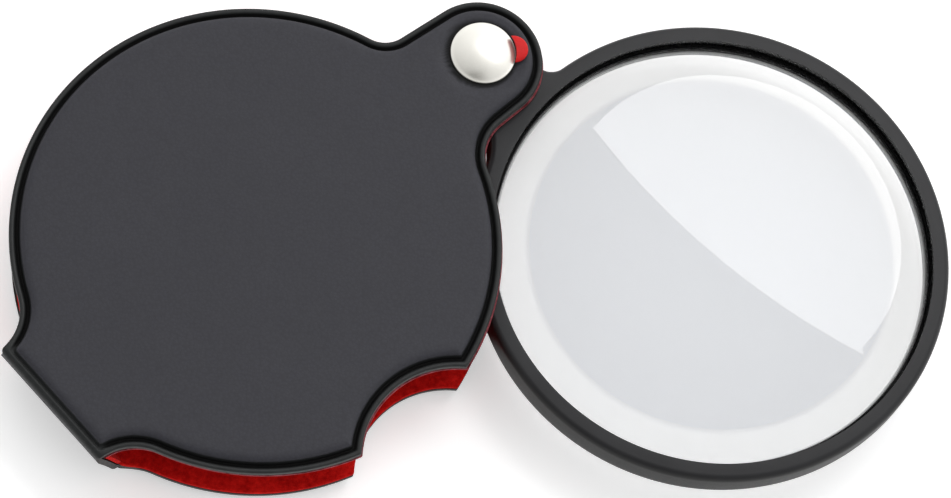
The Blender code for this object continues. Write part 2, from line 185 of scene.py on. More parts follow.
class Wire:
    """A socket of a node, which plain arithmetic can use."""

    def __init__(self, nodes, socket):
        self.nodes = nodes
        self.socket = socket

    def maths(self, operation, *values):
        node = self.nodes.new("ShaderNodeMath")
        node.operation = operation
        for slot, value in zip(node.inputs, values):
            feed(self.nodes, slot, value)
        return Wire(self.nodes, node.outputs[0])

    def __add__(self, other):
        return self.maths("ADD", self, other)

    def __sub__(self, other):
        return self.maths("SUBTRACT", self, other)

    def __rsub__(self, other):
        return self.maths("SUBTRACT", other, self)

    def __mul__(self, other):
        return self.maths("MULTIPLY", self, other)

    def __pow__(self, other):
        return self.maths("POWER", self, other)

    __radd__ = __add__
    __rmul__ = __mul__


def feed(nodes, slot, value):
    """Link a wire to a socket, or set a plain value on it."""
    if isinstance(value, Wire):
        nodes.id_data.links.new(value.socket, slot)
    elif hasattr(value, "__len__") and len(value) == 3 and slot.type == "RGBA":
        slot.default_value = (*value, 1.0)
    else:
        slot.default_value = value


class Finish:
    """A material that is built up node by node around one Principled shader."""

    def __init__(self, name, **constants):
        self.material = bpy.data.materials.new(name)
        self.material.use_nodes = True
        self.nodes = self.material.node_tree.nodes
        self.shader = self.nodes["Principled BSDF"]
        self.set(**constants)
        self.place = self.node("ShaderNodeTexCoord", out="Object")

    def set(self, **values):
        for name, value in values.items():
            feed(self.nodes, self.shader.inputs[name.replace("_", " ")], value)

    def node(self, kind, settings=None, values=None, out=0):
        node = self.nodes.new(kind)
        for name, value in (settings or {}).items():
            if name == "stops":
                for stop, (position, shade) in zip(node.color_ramp.elements, value):
                    stop.position = position
                    stop.color = (shade, shade, shade, 1.0)
            else:
                setattr(node, name, value)
        for key, value in (values or {}).items():
            feed(self.nodes, node.inputs[key], value)
        return Wire(self.nodes, node.outputs[out])

    def clouds(self, size, detail=3.0, roughness=0.55):
        """Soft noise whose lumps are about size mm across."""
        values = {"Vector": self.place, "Scale": 1 / (size * mm), "Detail": detail, "Roughness": roughness}
        return self.node("ShaderNodeTexNoise", values=values)

    def pebbles(self, size, out="Distance"):
        values = {"Vector": self.place, "Scale": 1 / (size * mm)}
        return self.node("ShaderNodeTexVoronoi", {"feature": "F1"}, values, out)

    def ramp(self, value, low, high):
        """Value spread from 0 at low to 1 at high."""
        values = {"Value": value, "From Min": low, "From Max": high}
        return self.node("ShaderNodeMapRange", {"clamp": True}, values)

    def blend(self, share, colour, other):
        """Colour at share 0, and the other at share 1."""
        return self.node("ShaderNodeMix", {"data_type": "RGBA"}, {0: share, 6: colour, 7: other}, 2)

    def bump(self, height, depth, strength=1.0, under=None):
        """Normal of a surface whose height varies by depth mm."""
        values = {"Height": height, "Distance": depth * mm, "Strength": strength}
        if under:
            values["Normal"] = under
        return self.node("ShaderNodeBump", values=values)


def new_piece(name, bm, *finishes, sharp=35):
    """Turn a mesh into a smooth-shaded object of the scene."""
    mesh = bpy.data.meshes.new(name)
    bm.to_mesh(mesh)
    bm.free()
    mesh.shade_smooth()
    mesh.set_sharp_from_angle(angle=np.radians(sharp))
    for finish in finishes:
        mesh.materials.append(finish.material)
    piece = bpy.data.objects.new(name, mesh)
    bpy.context.scene.collection.objects.link(piece)
    return piece


def bake_modifiers(piece):
    """Keep the evaluated shape of a piece as its own mesh."""
    graph = bpy.context.evaluated_depsgraph_get()
    mesh = bpy.data.meshes.new_from_object(piece.evaluated_get(graph))
    piece.modifiers.clear()
    piece.data = mesh


def drill(piece, centre, radius, low, high, steps=64, foot=None):
    """Bore a round hole along Z through a piece, as wide as foot at its lower end if that is given."""
    bm = bmesh.new()
    bmesh.ops.create_cone(
        bm, cap_ends=True, segments=steps, radius1=foot or radius, radius2=radius, depth=high - low,
        matrix=Matrix.Translation((centre[0], centre[1], (low + high) / 2)),
    )
    mesh = bpy.data.meshes.new("drill")
    bm.to_mesh(mesh)
    bm.free()
    bit = bpy.data.objects.new("drill", mesh)
    bpy.context.scene.collection.objects.link(bit)
    step = piece.modifiers.new("hole", "BOOLEAN")
    step.operation = "DIFFERENCE"
    step.object = bit
    step.solver = "EXACT"
    bake_modifiers(piece)
    bpy.data.objects.remove(bit)


def tangent(one, two):
    """Ends of the straight line from circle one to circle two, each (centre, signed radius)."""
    (c1, r1), (c2, r2) = one[:2], two[:2]
    way = np.subtract(c2, c1)
    lean = np.arcsin(np.clip((r2 - r1) / np.hypot(*way), -1, 1))
    heading = np.arctan2(way[1], way[0]) - lean
    normal = np.array([np.sin(heading), -np.cos(heading)])
    return np.asarray(c1) + r1 * normal, np.asarray(c2) + r2 * normal


def belt(circles):
    """Closed outline round a chain of circles, each (centre, signed radius, arc steps, run steps).

    Run steps divide the straight line to the next circle, and are 0 where the two circles touch.
    The number of points doesn't depend on the radii, so outlines of different size can be joined.
    """
    points = []
    for i, (centre, radius, arc_steps, run_steps) in enumerate(circles):
        following = circles[(i + 1) % len(circles)]
        start = tangent(circles[i - 1], circles[i])[1] - centre
        last, first = tangent(circles[i], following)
        end = last - centre
        a = np.arctan2(start[1], start[0])
        b = np.arctan2(end[1], end[0])
        turn = (b - a) % (2 * np.pi) if radius > 0 else -((a - b) % (2 * np.pi))
        if abs(turn) > 2 * np.pi - 0.01:
            turn = 0.0
        for k in range(arc_steps + (run_steps > 0)):
            angle = a + turn * k / arc_steps
            points.append(centre + abs(radius) * np.array([np.cos(angle), np.sin(angle)]))
        for k in range(1, run_steps):
            points.append(last + (first - last) * k / run_steps)
    return np.array(points)


def meet(c1, r1, c2, r2, side):
    """Crossing of two circles on the given side of the line between their centres."""
    way = np.subtract(c2, c1)
    length = np.hypot(*way)
    along = (r1**2 - r2**2 + length**2) / (2 * length)
    off = np.sqrt(r1**2 - along**2)
    ahead = way / length
    return np.asarray(c1) + along * ahead + side * off * np.array([-ahead[1], ahead[0]])


EAR_STEPS, EAR_RUN, NECK_STEPS, SIDE_STEPS = 44, 8, 10, 84
HOLLOW_STEPS, CORNER_STEPS, SPINE_RUN, LOW_STEPS, NOTCH_STEPS, RIGHT_STEPS = 14, 6, 22, 30, 36, 34
TIP_STEPS = 5
spine_first = EAR_STEPS + EAR_RUN + NECK_STEPS + SIDE_STEPS + HOLLOW_STEPS + CORNER_STEPS
hollow_y = SPINE_HALF_WIDTH + SPINE_HOLLOW_RADIUS


def spine_corner(inset, spine, body, rounding):
    """Centres of the hollow beside the spine and of the corner where the two meet, for +Y."""
    hollow_x = -np.sqrt((body + SPINE_HOLLOW_RADIUS) ** 2 - hollow_y**2)
    corner_x = -spine + inset + rounding
    reach = SPINE_HOLLOW_RADIUS + inset + rounding
    corner_y = hollow_y - np.sqrt(reach**2 - (corner_x - hollow_x) ** 2)
    return hollow_x, corner_x, corner_y


def leaf_outline(inset, spine):
    """Plan of a leaf in mm from the case centre, drawn inset from its edge, always as many points."""
    body = BODY_RADIUS - inset
    flank = BODY_RADIUS - (REAR_FLANK if spine < SPINE_FRONT else 0.0)
    neck_y = NECK_HALF_WIDTH + NECK_RADIUS
    lens_neck_y = NECK_HALF_WIDTH + LENS_NECK_RADIUS
    lens_neck_x = np.sqrt((BODY_RADIUS + LENS_NECK_RADIUS) ** 2 - lens_neck_y**2)
    flank_neck_x = np.sqrt((flank + NECK_RADIUS) ** 2 - neck_y**2)
    hollow = SPINE_HOLLOW_RADIUS + inset
    flank_hollow_x, corner_x, corner_y = spine_corner(inset, spine, flank, SPINE_CORNER)
    hollow_x, tip_x, tip_y = spine_corner(inset, spine, BODY_RADIUS, TIP)
    notch = NOTCH_RADIUS + inset
    left_tip = meet((0, 0), body - TIP, NOTCH_CENTRE, notch + TIP, -1)
    right_tip = meet((0, 0), body - TIP, NOTCH_CENTRE, notch + TIP, 1)
    centre = (0.0, 0.0)
    return belt([
        (EAR_CENTRE, EAR_RADIUS - inset, EAR_STEPS, EAR_RUN),
        ((flank_neck_x, neck_y), -(NECK_RADIUS + inset), NECK_STEPS, 0),
        (centre, flank - inset, SIDE_STEPS, 0),
        ((flank_hollow_x, hollow_y), -hollow, HOLLOW_STEPS, 0),
        ((corner_x, corner_y), SPINE_CORNER, CORNER_STEPS, SPINE_RUN),
        ((tip_x, -tip_y), TIP, TIP_STEPS, 0),
        ((hollow_x, -hollow_y), -hollow, HOLLOW_STEPS, 0),
        (centre, body, LOW_STEPS, 0),
        (left_tip, TIP, TIP_STEPS, 0),
        (NOTCH_CENTRE, -notch, NOTCH_STEPS, 0),
        (right_tip, TIP, TIP_STEPS, 0),
        (centre, body, RIGHT_STEPS, 0),
        ((lens_neck_x, -lens_neck_y), -(LENS_NECK_RADIUS + inset), NECK_STEPS, EAR_RUN),
    ])


def strip_edge(x, inset, rounding):
    """Half width of the spine strip where its plan distance from the case centre is x."""
    hollow_x, corner_x, corner_y = spine_corner(inset, SPINE_FRONT, BODY_RADIUS, rounding)
    if x < corner_x:
        return corner_y + np.sqrt(max(rounding**2 - (corner_x - x) ** 2, 0.0))
    return hollow_y - np.sqrt((SPINE_HOLLOW_RADIUS + inset) ** 2 - (x - hollow_x) ** 2)


def fold_section(depth, bends):
    """The folded sheet's section at a depth under the case's outer face, as straights and bends.

    Each stretch is (length, start, heading, radius), from the front leaf's far end round the spine
    to the rear leaf's. The radius is None where the stretch is straight.
    """
    corners = [(REACH, 0), (-SPINE_FRONT, 0), (-SPINE_FRONT, -SPINE_STRAIGHT)]
    corners += [(-SPINE_REAR, -CASE_DEPTH), (REACH, -CASE_DEPTH)]
    lines = []
    for a, b in zip(corners, corners[1:]):
        ahead = np.subtract(b, a) / np.hypot(*np.subtract(b, a))
        lines.append((np.asarray(a) + depth * np.array([-ahead[1], ahead[0]]), ahead))
    knees = [lines[0][0]]
    for (p, u), (q, v) in zip(lines, lines[1:]):
        knees.append(p + np.linalg.solve(np.array([u, -v]).T, q - p)[0] * u)
    knees.append(np.array([REACH, -CASE_DEPTH + depth]))
    stretches = []
    here = knees[0]
    for before, knee, after, radius in zip(knees, knees[1:], knees[2:], bends):
        u = (knee - before) / np.hypot(*(knee - before))
        v = (after - knee) / np.hypot(*(after - knee))
        turn = np.arccos(np.clip(u @ v, -1, 1))
        room = 0.48 * min(np.hypot(*(knee - before)), np.hypot(*(after - knee)))
        cut_back = min(radius * np.tan(turn / 2), room)
        radius = cut_back / np.tan(turn / 2)
        start = knee - cut_back * u
        heading = np.arctan2(u[1], u[0])
        stretches.append((np.hypot(*(start - here)), here, heading, None))
        stretches.append((radius * turn, start, heading, radius))
        here = knee + cut_back * v
    stretches.append((np.hypot(*(knees[-1] - here)), here, 0.0, None))
    return stretches


def on_fold(stretches, run, rise):
    """Point at a run along the folded section and a rise out of the case."""
    for length, start, heading, radius in stretches:
        if run <= length or start is stretches[-1][1]:
            break
        run -= length
    angle = heading + (run / radius if radius else 0.0)
    out = np.array([np.sin(angle), -np.cos(angle)])
    if radius:
        return start + radius * np.array([-np.sin(heading), np.cos(heading)]) + (radius + rise) * out
    return start + run * np.array([np.cos(heading), np.sin(heading)]) + rise * out


def leaf_run(stretches, leaf, x):
    """Run along the folded section of a leaf's point whose plan distance is x."""
    total = sum(stretch[0] for stretch in stretches)
    if leaf == "rear":
        return total - (REACH - x)
    flat, start, _, _ = stretches[0]
    _, bend_start, _, radius = stretches[1]
    if x >= bend_start[0]:
        return start[0] - x
    return flat + radius * np.arcsin(min((bend_start[0] - x) / radius, 1.0))


def case_point(x, y, z):
    """Point of the case's own plan axes, in mm, as a place in the scene."""
    turned_x = x * np.cos(case_turn) - y * np.sin(case_turn)
    turned_y = x * np.sin(case_turn) + y * np.cos(case_turn)
    return (case_mount.x + turned_x * mm, case_mount.y + turned_y * mm, border_level + z * mm)


def folded_piece(section, profile, finishes, edge, flat_rises, plan_of, shape, painted_shade_of):
    """Both leaves and the spine of a folded sheet, as one closed mesh.

    The profile is a list of (inset, rise) from the middle of the outer face round the cut edge to
    the middle of the inner face, with one finish for each step of it. The cut edge lies between
    profile points edge and edge + 1, where the spine strip joins on at the two flat rises. plan_of
    draws a leaf's outline, shape gives a point's extra rise, and the last one its painted shade.
    """
    bm = bmesh.new()
    painted_shade = bm.verts.layers.float.new("painted_shade")
    fold = bm.verts.layers.float.new("fold")
    spine_range = range(spine_first, spine_first + SPINE_RUN + 1)
    rims = {}
    for leaf in ("front", "rear"):
        def ring_of(plan, inset, k, rise):
            ring = []
            for i, (x, y) in enumerate(plan):
                flat = i in spine_range and edge - 2 < k < edge + 3
                level = flat_rises[k > edge] if flat else rise
                level += shape(x, y, inset, k <= edge)
                px, pz = on_fold(section, leaf_run(section, leaf, x), level)
                vert = bm.verts.new(case_point(px, y, pz))
                vert[painted_shade] = painted_shade_of(x, y, inset) if k <= edge else 0.0
                ring.append(vert)
            return ring

        loops = [ring_of(plan_of(leaf, inset), inset, k, rise) for k, (inset, rise) in enumerate(profile)]
        count = len(loops[0])
        for k, (a, b) in enumerate(zip(loops, loops[1:])):
            for i in range(count):
                j = (i + 1) % count
                if not (k == edge and i in spine_range and j in spine_range):
                    bm.faces.new((a[i], a[j], b[j], b[i])).material_index = finishes[k]
        for k, loop, finish in ((0, loops[0], finishes[0]), (len(profile) - 1, loops[-1], finishes[-1])):
            inset, rise = profile[k]
            for scale in LEAF_RINGS:
                ring = ring_of(plan_of(leaf, inset) * scale, inset + 6, k, rise)
                for i in range(count):
                    j = (i + 1) % count
                    bm.faces.new((loop[i], loop[j], ring[j], ring[i])).material_index = finish
                loop = ring
            bm.faces.new(loop).material_index = finish
        rims[leaf] = [[loops[k][i] for i in spine_range] for k in (edge, edge + 1)]
    front_line = plan_of("front", profile[edge][0])[list(spine_range)]
    rear_line = plan_of("rear", profile[edge][0])[list(spine_range)]
    first_run = leaf_run(section, "front", front_line[0][0])
    last_run = leaf_run(section, "rear", rear_line[0][0])
    strips = []
    for layer, level in enumerate(flat_rises):
        rows = [rims["front"][layer]]
        for k in range(1, STRIP_ROWS):
            share = k / STRIP_ROWS
            run = first_run + (last_run - first_run) * share
            plan_x = on_fold(section, run, flat_rises[0])[0]
            settle = max(0.0, share - 0.7) / 0.3
            px, pz = on_fold(section, run, level)
            row = []
            for i in range(SPINE_RUN + 1):
                high = strip_edge(plan_x, profile[edge][0], SPINE_CORNER)
                low = -strip_edge(plan_x, profile[edge][0], TIP)
                y = high + (low - high) * i / SPINE_RUN
                y += (rear_line[i][1] - y) * settle
                vert = bm.verts.new(case_point(px, y, pz))
                vert[fold] = 1.0 + share
                row.append(vert)
            rows.append(row)
        rows.append(rims["rear"][layer])
        finish = finishes[0 if layer == 0 else -1]
        for a, b in zip(rows, rows[1:]):
            for i in range(SPINE_RUN):
                bm.faces.new((a[i], a[i + 1], b[i + 1], b[i])).material_index = finish
        strips.append(rows)
    for a, b, c, d in zip(strips[0], strips[0][1:], strips[1], strips[1][1:]):
        for end in (0, -1):
            bm.faces.new((a[end], b[end], d[end], c[end])).material_index = finishes[edge]
    bmesh.ops.recalc_face_normals(bm, faces=bm.faces)
    return bm


COVER_PROFILE = [
    (3.2, 0.80), (2.5, 0.79), (2.05, 0.75), (1.76, 0.66), (1.56, 0.50), (1.44, 0.28), (1.36, 0.0),
    (1.28, -0.28), (1.18, -0.46), (1.02, -0.50), (0.88, -0.40), (0.76, -0.20), (0.64, -0.06), (0.5, 0.0),
    (0.32, 0.02), (0.14, 0.0), (0.04, -0.07), (0.0, -0.18),
    (0.0, -COVER), (2.5, -COVER), (2.6, 0.0),
]
PANEL_FACE, CUT, CLOTH, PRESSED = range(4)
COVER_FINISHES = [*[PANEL_FACE] * 5, *[PRESSED] * 12, CUT, CLOTH, CLOTH]
COVER_EDGE = 17
LEAF_RINGS = [*np.linspace(0.985, 0.72, 20), *np.linspace(0.64, 0.08, 8)]
STRIP_ROWS = 14


def soft_step(value, low, high):
    share = np.clip((value - low) / (high - low), 0, 1)
    return share * share * (3 - 2 * share)


def cover_plan(leaf, inset):
    return leaf_outline(inset, SPINE_FRONT if leaf == "front" else SPINE_REAR)


def leather_shape(x, y, inset, outside):
    """Rise of the pressed leatherette: drawn down round the rivet, and never quite flat."""
    if not outside:
        return 0.0
    drawn = -0.40 * soft_step(-np.hypot(x - RIVET_REACH, y), -6.6, -4.6)
    inside = np.clip((inset - 1.3) / 1.5, 0, 1)
    sway = 0.05 * noise.noise(Vector((x / 14, y / 14, 3.0)))
    crown = 0.10 * max(0.0, 1 - (x * x + y * y) / 30**2)
    shallow = 0.42 * soft_step(-x, 33.6, 34.8) * np.exp(-(((inset - 1.0) / 0.32) ** 2))
    return drawn + inside * (sway + crown) + shallow


def leather_painted_shade(x, y, inset):
    """Mask of painted shade: the crease round the panel, and a painted shadow ring round the rivet's cap,
    set a little off its centre.
    """
    # Painted shade in the crease, fainter along the spine, and a painted shadow ring round the cap.
    crease = np.exp(-(((inset - 1.02) / 0.28) ** 2)) * (1 - 0.75 * soft_step(-x, 33.6, 34.8))
    from_cap = np.hypot(x - RIVET_REACH + 0.2, y - 0.05)
    return float(np.clip(crease + soft_step(-from_cap, -5.25, -4.75), 0, 1))


def leatherette_finish():
    finish = Finish("black_leatherette", Specular_IOR_Level=0.36)
    grain = finish.pebbles(0.42)
    fine = finish.clouds(0.16)
    broad = finish.clouds(9.0, 2.0)
    patches = finish.clouds(2.2, 4.0)
    painted_shade = finish.node("ShaderNodeAttribute", {"attribute_name": "painted_shade"}, out="Fac")
    fold = finish.node("ShaderNodeAttribute", {"attribute_name": "fold"}, out="Fac")
    lines = finish.node("ShaderNodeTexNoise", {"noise_dimensions": "1D"}, {"W": fold * 9.0, "Detail": 2.0})
    on_spine = finish.ramp(fold, 0.5, 1.0)
    shade = finish.blend(broad * 0.6 + patches * 0.4, (0.0235, 0.0235, 0.031), (0.033, 0.033, 0.043))
    speckled = finish.blend(finish.ramp(grain, 0.1, 0.75) * 0.5, shade, (0.018, 0.018, 0.023))
    # Painted shade of the fold's wrinkles: the spine strip goes darker, in dark lines along the fold.
    creased = finish.blend(finish.ramp(lines, 0.4, 0.62), (0.006, 0.005, 0.005), (0.026, 0.022, 0.022))
    shaped = finish.blend(on_spine * 0.9, speckled, creased)
    # Painted shade: near black in the crease and in the shadow ring round the rivet's cap.
    finish.set(Base_Color=finish.blend(painted_shade * 0.95, shaped, (0.001, 0.001, 0.001)))
    finish.set(Roughness=0.50 + patches * 0.16 + painted_shade * 0.3)
    finish.set(Normal=finish.bump(grain * 0.7 + fine * 0.5, 0.035, 0.55))
    return finish


def pressed_finish():
    """The border, which the hot die leaves smooth, dark and a little shiny."""
    finish = Finish("pressed_leatherette", Specular_IOR_Level=0.22)
    patches = finish.clouds(1.1, 4.0)
    fine = finish.clouds(0.2, 3.0)
    painted_shade = finish.node("ShaderNodeAttribute", {"attribute_name": "painted_shade"}, out="Fac")
    strip = finish.blend(patches, (0.012, 0.013, 0.0135), (0.027, 0.029, 0.029))
    # Painted shade: the border goes near black in the crease, where the mask is high.
    finish.set(Base_Color=finish.blend(finish.ramp(painted_shade, 0.05, 0.55), strip, (0.0006, 0.0006, 0.0006)))
    finish.set(Roughness=0.34 + patches * 0.12 + painted_shade * 0.5)
    finish.set(Normal=finish.bump(fine, 0.02, 0.6))
    return finish


def cut_edge_finish():
    """The cut through the leatherette: black skin over grey cloth backing."""
    finish = Finish("leatherette_cut_edge", Specular_IOR_Level=0.2)
    fibres = finish.clouds(0.12, 5.0)
    layer = finish.clouds(0.9, 3.0)
    share = finish.ramp(fibres * 0.6 + layer * 0.4, 0.3, 0.7)
    finish.set(Base_Color=finish.blend(share, (0.045, 0.045, 0.046), (0.125, 0.122, 0.118)))
    finish.set(Roughness=0.8 + fibres * 0.1, Normal=finish.bump(fibres, 0.05, 0.8))
    return finish


def cloth_back_finish():
    finish = Finish("leatherette_cloth_back", Specular_IOR_Level=0.2)
    weave = {"Vector": finish.place, "Scale": 700.0}
    threads = finish.node("ShaderNodeTexWave", {"wave_type": "BANDS"}, weave)
    finish.set(Base_Color=finish.blend(threads, (0.02, 0.02, 0.02), (0.04, 0.039, 0.037)))
    finish.set(Roughness=0.9 + threads * 0.05)
    return finish


cover_section = fold_section(0.0, (1.2, 2.0, 3.4))
cover_mesh = folded_piece(
    cover_section, COVER_PROFILE, COVER_FINISHES, COVER_EDGE, (0.0, -COVER),
    cover_plan, leather_shape, leather_painted_shade,
)
cover_looks = (leatherette_finish(), cut_edge_finish(), cloth_back_finish(), pressed_finish())
cover = new_piece("leatherette_cover", cover_mesh, *cover_looks)
RIVET_HOLE = 2.3 * mm
drill(cover, swivel, RIVET_HOLE, -0.01, 0.03)
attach(cover, "case")
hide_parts("case_cover")


# ---------------------------------------------------------------- Flocked lining
# Red flocked cloth, glued inside the cover before both are die cut, so that its pink backing shows
# at the edge. It is folded with the cover.
LINING_TOP = 1.1            # depth of its back under the case's outer face
LINING = 0.5
LINING_ASKEW = (0.19, -0.24)    # the front leaf's lining was cut this far off, along the case's axes
REAR_SHORT = 0.5            # the rear leaf's lining stops this far short on the lens's side
LINING_PROFILE = [
    (3.0, 0.0), (0.08, 0.0), (0.06, -0.26), (0.09, -0.40), (0.2, -0.48), (0.45, -LINING), (3.0, -LINING)
]
BACKING, PILE = range(2)
LINING_FINISHES = [BACKING, BACKING, BACKING, PILE, PILE, PILE]
LINING_EDGE = 1


def lining_plan(leaf, inset):
    if leaf == "front":
        return leaf_outline(inset, SPINE_FRONT) + LINING_ASKEW
    plan = leaf_outline(inset - 0.06, SPINE_REAR)
    plan[:, 1] -= REAR_SHORT * soft_step(plan[:, 1], 8, 20)
    return plan


def flock_shape(x, y, inset, outside):
    """The pile stands a little uneven."""
    if outside or inset < 0.3:
        return 0.0
    return 0.04 * noise.noise(Vector((x / 5, y / 5, 8.0)))


def no_painted_shade(x, y, inset):
    return 0.0


def flock_finish(name, dark, bright):
    sheen = {"Sheen_Weight": 0.2, "Sheen_Roughness": 0.5, "Sheen_Tint": (1.0, 0.1, 0.1, 1.0)}
    finish = Finish(name, Specular_IOR_Level=0.1, **sheen)
    tufts = finish.clouds(0.7, 5.0, 0.65)
    brushed = finish.clouds(4.0, 3.0)
    fibre = finish.clouds(0.11, 2.0)
    share = finish.ramp(tufts * 0.55 + brushed * 0.3 + fibre * 0.15, 0.36, 0.64)
    finish.set(Base_Color=finish.blend(share, dark, bright), Roughness=0.92 + fibre * 0.06)
    finish.set(Normal=finish.bump(tufts * 0.6 + fibre * 0.4, 0.12, 0.8))
    return finish


flock = flock_finish("red_flock", (0.31, 0.0004, 0.0004), (0.69, 0.012, 0.009))
flock_backing = flock_finish("pink_backing", (0.06, 0.004, 0.006), (0.42, 0.11, 0.13))
lining_section = fold_section(LINING_TOP, (1.0, 1.2, 1.8))
lining_mesh = folded_piece(
    lining_section, LINING_PROFILE, LINING_FINISHES, LINING_EDGE, (0.0, -LINING),
    lining_plan, flock_shape, no_painted_shade,
)
for face in lining_mesh.faces:
    if face.calc_center_median().z < border_level - (LINING_TOP + LINING + 0.2) * mm:
        face.material_index = PILE
lining = new_piece("flocked_lining", lining_mesh, flock_backing, flock)
drill(lining, swivel, RIVET_HOLE, -0.01, 0.03)
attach(lining, "case")
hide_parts("case_lining")


# ---------------------------------------------------------------- Card stiffeners
# A grey card in each leaf, between the leatherette and the lining, which keeps the padded panels
# flat. Only their edges could ever be seen.
card = Finish("grey_card", Specular_IOR_Level=0.2)
pulp = card.clouds(0.25, 5.0)
card.set(Base_Color=card.blend(pulp, (0.28, 0.24, 0.19), (0.44, 0.38, 0.31)), Roughness=0.85 + pulp * 0.1)
card.set(Normal=card.bump(pulp, 0.02))
for name in ("front_board", "rear_board"):
    bpy.data.objects[name].material_slots[0].material = card.material


# ---------------------------------------------------------------- Lens frame
# A black plastic ring moulded in one with the lug that the rivet goes through. Its outside is
# rounded off, and the bore has a ledge at the back for the lens to rest on.
FRAME_RADIUS = 32.6
FRAME_HALF = 3.4
FRONT_ROUNDING = (0.85, 1.2)    # across and down
REAR_ROUNDING = (2.0, 2.8)
FRAME_BORE = 30.3
REAR_LIP = 29.75
LEDGE = -0.9
LIP_REAR = -1.5
FLARE = (1.0, 2.9)         # the opening behind the ledge widens by this over this depth
LUG_HALF_WIDTH = 4.9
LUG_FILLET = 2.5
LUG_WEB_FILLET = 10.0
lug_way = Vector((swivel.x - lens_centre.x, swivel.y - lens_centre.y, 0))
lug_reach = lug_way.length / mm
swivel_turn = np.arctan2(lug_way.y, lug_way.x)


def frame_point(x, y, z):
    """Point of the lens frame's own axes, in mm from the rivet and the lens's middle plane."""
    turned_x = x * np.cos(swivel_turn) - y * np.sin(swivel_turn)
    turned_y = x * np.sin(swivel_turn) + y * np.cos(swivel_turn)
    return (swivel.x + turned_x * mm, swivel.y + turned_y * mm, lens_centre.z + z * mm)


def frame_outline(inset):
    """Ring and lug in plan, drawn inset from their edge."""
    ring = (-lug_reach, 0.0)
    hollows = []
    for fillet, side in ((LUG_WEB_FILLET, 1), (LUG_FILLET, -1)):
        y = LUG_HALF_WIDTH + fillet
        x = -lug_reach + np.sqrt((FRAME_RADIUS + fillet) ** 2 - y**2)
        hollows.append(((x, side * y), -(fillet + inset)))
    return belt([
        ((0.0, 0.0), LUG_HALF_WIDTH - inset, 24, 6),
        (*hollows[0], 20, 0),
        (ring, FRAME_RADIUS - inset, 220, 0),
        (*hollows[1], 12, 6),
    ])


def plastic_finish(name, roughness, specks):
    """Black plastic, painted near black on its sides and lighter on its flat faces, as shade."""
    finish = Finish(name, Specular_IOR_Level=0.24)
    flow = finish.clouds(6.0, 3.0)
    dust = finish.pebbles(1.3)
    fine = finish.clouds(0.3, 4.0)
    speck = finish.ramp(dust, 0.07, 0.03) * specks
    normal = finish.node("ShaderNodeNewGeometry", out="Normal")
    ends = {0: normal, 1: (0, 0, 1)}
    upright = finish.node("ShaderNodeVectorMath", {"operation": "DOT_PRODUCT"}, ends, "Value")
    not_side_shaded = finish.ramp(upright.maths("ABSOLUTE", upright), 0.3, 0.95)
    body = finish.blend(flow, (0.018, 0.018, 0.0195), (0.028, 0.028, 0.030))
    # Painted shade: faces whose normal turns away from upright go near black.
    body = finish.blend(not_side_shaded, (0.002, 0.002, 0.002), body)
    finish.set(Base_Color=finish.blend(speck, body, (0.35, 0.35, 0.34)))
    finish.set(Roughness=roughness + fine * 0.14, Normal=finish.bump(fine, 0.01, 0.5))
    return finish


frame_bm = bmesh.new()
steps = np.radians(np.linspace(0, 90, 8))
section = [
    (FRONT_ROUNDING[0] * (1 - np.sin(a)), FRAME_HALF - FRONT_ROUNDING[1] * (1 - np.cos(a))) for a in steps
]
section += [
    (REAR_ROUNDING[0] * (1 - np.cos(a)), REAR_ROUNDING[1] * (1 - np.sin(a)) - FRAME_HALF) for a in steps
]
loops = []
for inset, z in section:
    loops.append([frame_bm.verts.new(frame_point(x, y, z)) for x, y in frame_outline(inset)])
for a, b in zip(loops, loops[1:]):
    for i in range(len(a)):
        frame_bm.faces.new((a[i - 1], a[i], b[i], b[i - 1]))
frame_bm.faces.new(loops[0])
frame_bm.faces.new(loops[-1])
bmesh.ops.recalc_face_normals(frame_bm, faces=frame_bm.faces)
black_plastic = plastic_finish("black_plastic", 0.36, 0.0)
bore_plastic = plastic_finish("bore_plastic", 0.2, 0.7)
lens_frame = new_piece("moulded_lens_frame", frame_bm, black_plastic, bore_plastic)
middle = lens_centre.z
drill(lens_frame, lens_centre, FRAME_BORE * mm, middle + LEDGE * mm, 0.03, 256)
drill(lens_frame, lens_centre, REAR_LIP * mm, -0.01, 0.03, 256)
drill(
    lens_frame, lens_centre, REAR_LIP * mm, middle + (LIP_REAR - FLARE[1]) * mm, middle + LIP_REAR * mm, 256,
    foot=(REAR_LIP + FLARE[0]) * mm,
)
drill(lens_frame, swivel, RIVET_HOLE, -0.01, 0.03)
lens_frame.data.shade_smooth()
lens_frame.data.set_sharp_from_angle(angle=np.radians(35))
for face in lens_frame.data.polygons:
    out = (face.center - lens_centre).xy.length / mm
    if out < FRAME_BORE + 0.01 and abs(face.normal.z) < 0.9:
        face.material_index = 1
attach(lens_frame, "lens_unit")
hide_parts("lens_frame")


# ---------------------------------------------------------------- Retaining ring
# A thin black ring, pressed into the bore to hold the lens down. Its inner edge is chamfered.
RETAINER_INNER = 29.75
RETAINER_OUTER = 30.0
RETAINER_LOW = 0.9
RETAINER_HIGH = 1.7


